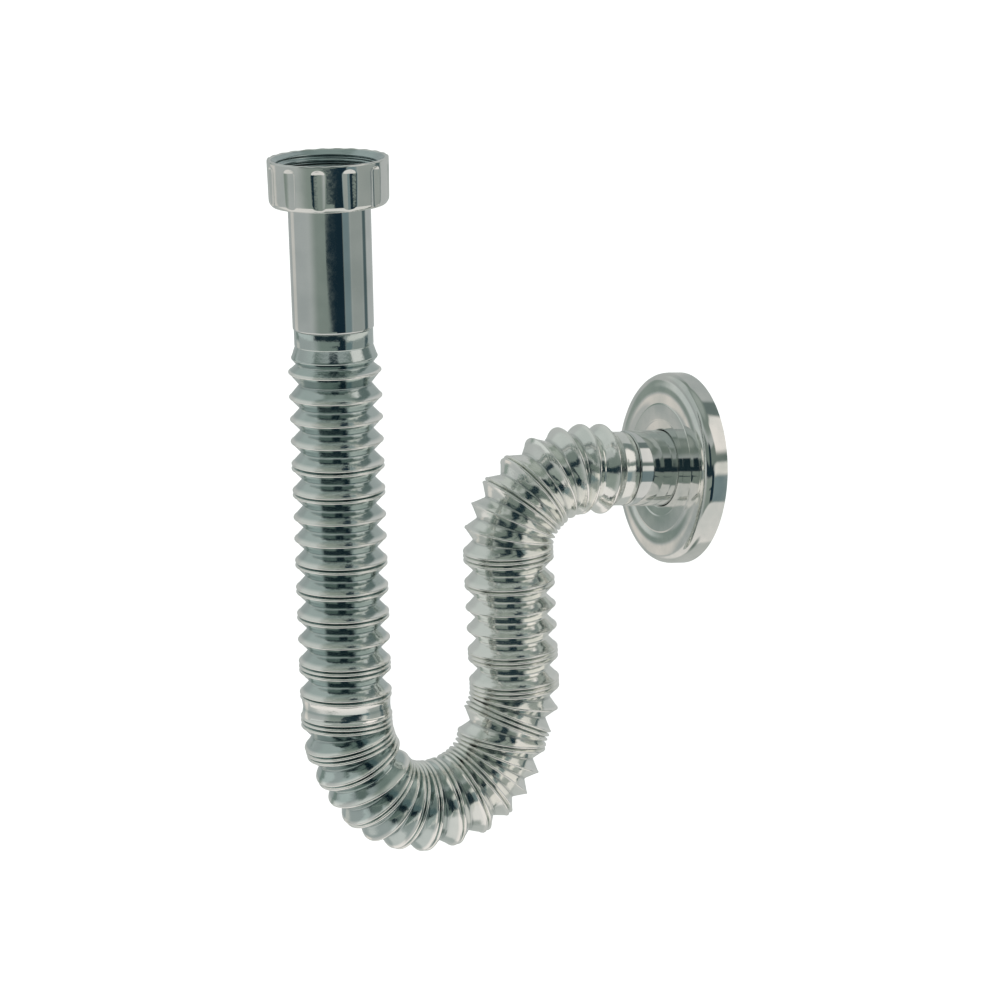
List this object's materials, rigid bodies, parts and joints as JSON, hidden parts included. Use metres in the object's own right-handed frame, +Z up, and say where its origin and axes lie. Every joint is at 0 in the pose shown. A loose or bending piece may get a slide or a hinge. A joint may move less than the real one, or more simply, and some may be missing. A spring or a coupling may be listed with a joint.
{
  "type": "p trap",
  "caption": "Flexible chromed basin trap: a bellows tube bent into a U water seal, with a ribbed union nut on its inlet tube and a round wall rosette on its outlet tube.",
  "frame": {"origin": "middle of the length of the inlet thread, on its axis, 4 mm above the seal face", "axes": "+Z up the inlet tube toward the drain above it, +X toward the wall, and the whole bellows in the XZ plane"},
  "size_m": [0.1949, 0.08, 0.2933],
  "materials": {
    "chrome_bellows": "polished",
    "chrome_tube": "polished",
    "chrome_nut": "polished",
    "chrome_rosette": "polished",
    "washer_rubber": "matte",
    "seal_rubber": "matte",
    "slip_plastic": "matte"
  },
  "bodies": {
    "inlet": {"inlet_tube": "chrome_tube", "seal_washer": "washer_rubber", "inlet_neck_seal": "seal_rubber", "bellows_inlet": "chrome_bellows", "leg_stretch": "chrome_bellows"},
    "nut_ring": {"nut_slip_ring": "slip_plastic"},
    "nut": {"union_nut": "chrome_nut"},
    "leg": {"leg_low": "chrome_bellows", "bend_left": "chrome_bellows"},
    "floor": {"bend_floor": "chrome_bellows", "bend_right": "chrome_bellows"},
    "riser": {"riser_low": "chrome_bellows", "riser_stretch": "chrome_bellows"},
    "riser_head": {"riser_top": "chrome_bellows", "elbow_low": "chrome_bellows"},
    "elbow": {"elbow_mid": "chrome_bellows", "elbow_high": "chrome_bellows"},
    "outlet": {"bellows_outlet": "chrome_bellows", "outlet_neck_seal": "seal_rubber", "outlet_tube": "chrome_tube"},
    "rosette_grip": {"rosette_grip_ring": "seal_rubber"},
    "rosette": {"rosette": "chrome_rosette"}
  },
  "joints": [
    {"name": "nut_slide", "type": "slide", "parent": "inlet", "child": "nut_ring", "axis": [0, 0, 1], "range_m": [-0.05, 0]},
    {"name": "nut_spin", "type": "hinge", "parent": "nut_ring", "child": "nut", "pos_m": [0, 0, 0], "axis": [0, 0, 1], "continuous": true},
    {"name": "leg_extend", "type": "slide", "parent": "inlet", "child": "leg", "axis": [0, 0, -1], "range_m": [-0.018, 0.014], "deforming": ["leg_stretch"]},
    {"name": "bend_left_flex", "type": "hinge", "parent": "leg", "child": "floor", "pos_m": [0.01937, 0, -0.22996], "axis": [0, 1, 0], "range_deg": [-5, 24], "deforming": ["bend_left"]},
    {"name": "bend_right_flex", "type": "hinge", "parent": "floor", "child": "riser", "pos_m": [0.04688, 0, -0.24711], "axis": [0, 1, 0], "range_deg": [-5, 24], "deforming": ["bend_right"]},
    {"name": "riser_extend", "type": "slide", "parent": "riser", "child": "riser_head", "axis": [-0.0224, 0, 0.9997], "range_m": [-0.012, 0.007], "deforming": ["riser_stretch"]},
    {"name": "elbow_low_flex", "type": "hinge", "parent": "riser_head", "child": "elbow", "pos_m": [0.0951, 0, -0.16046], "axis": [0, 1, 0], "range_deg": [-20, 10], "deforming": ["elbow_low"]},
    {"name": "elbow_high_flex", "type": "hinge", "parent": "elbow", "child": "outlet", "pos_m": [0.10579, 0, -0.15332], "axis": [0, 1, 0], "range_deg": [-20, 10], "deforming": ["elbow_high"]},
    {"name": "rosette_slide", "type": "slide", "parent": "outlet", "child": "rosette_grip", "axis": [0.9939, 0, -0.1103], "range_m": [-0.015, 0.01]},
    {"name": "rosette_spin", "type": "hinge", "parent": "rosette_grip", "child": "rosette", "pos_m": [0.14657, 0, -0.13856], "axis": [0.9939, 0, -0.1103], "continuous": true}
  ],
  "couplings": [
    {"joint": "bend_right_flex", "follows": "bend_left_flex", "ratio": 1},
    {"joint": "elbow_high_flex", "follows": "elbow_low_flex", "ratio": 1}
  ]
}
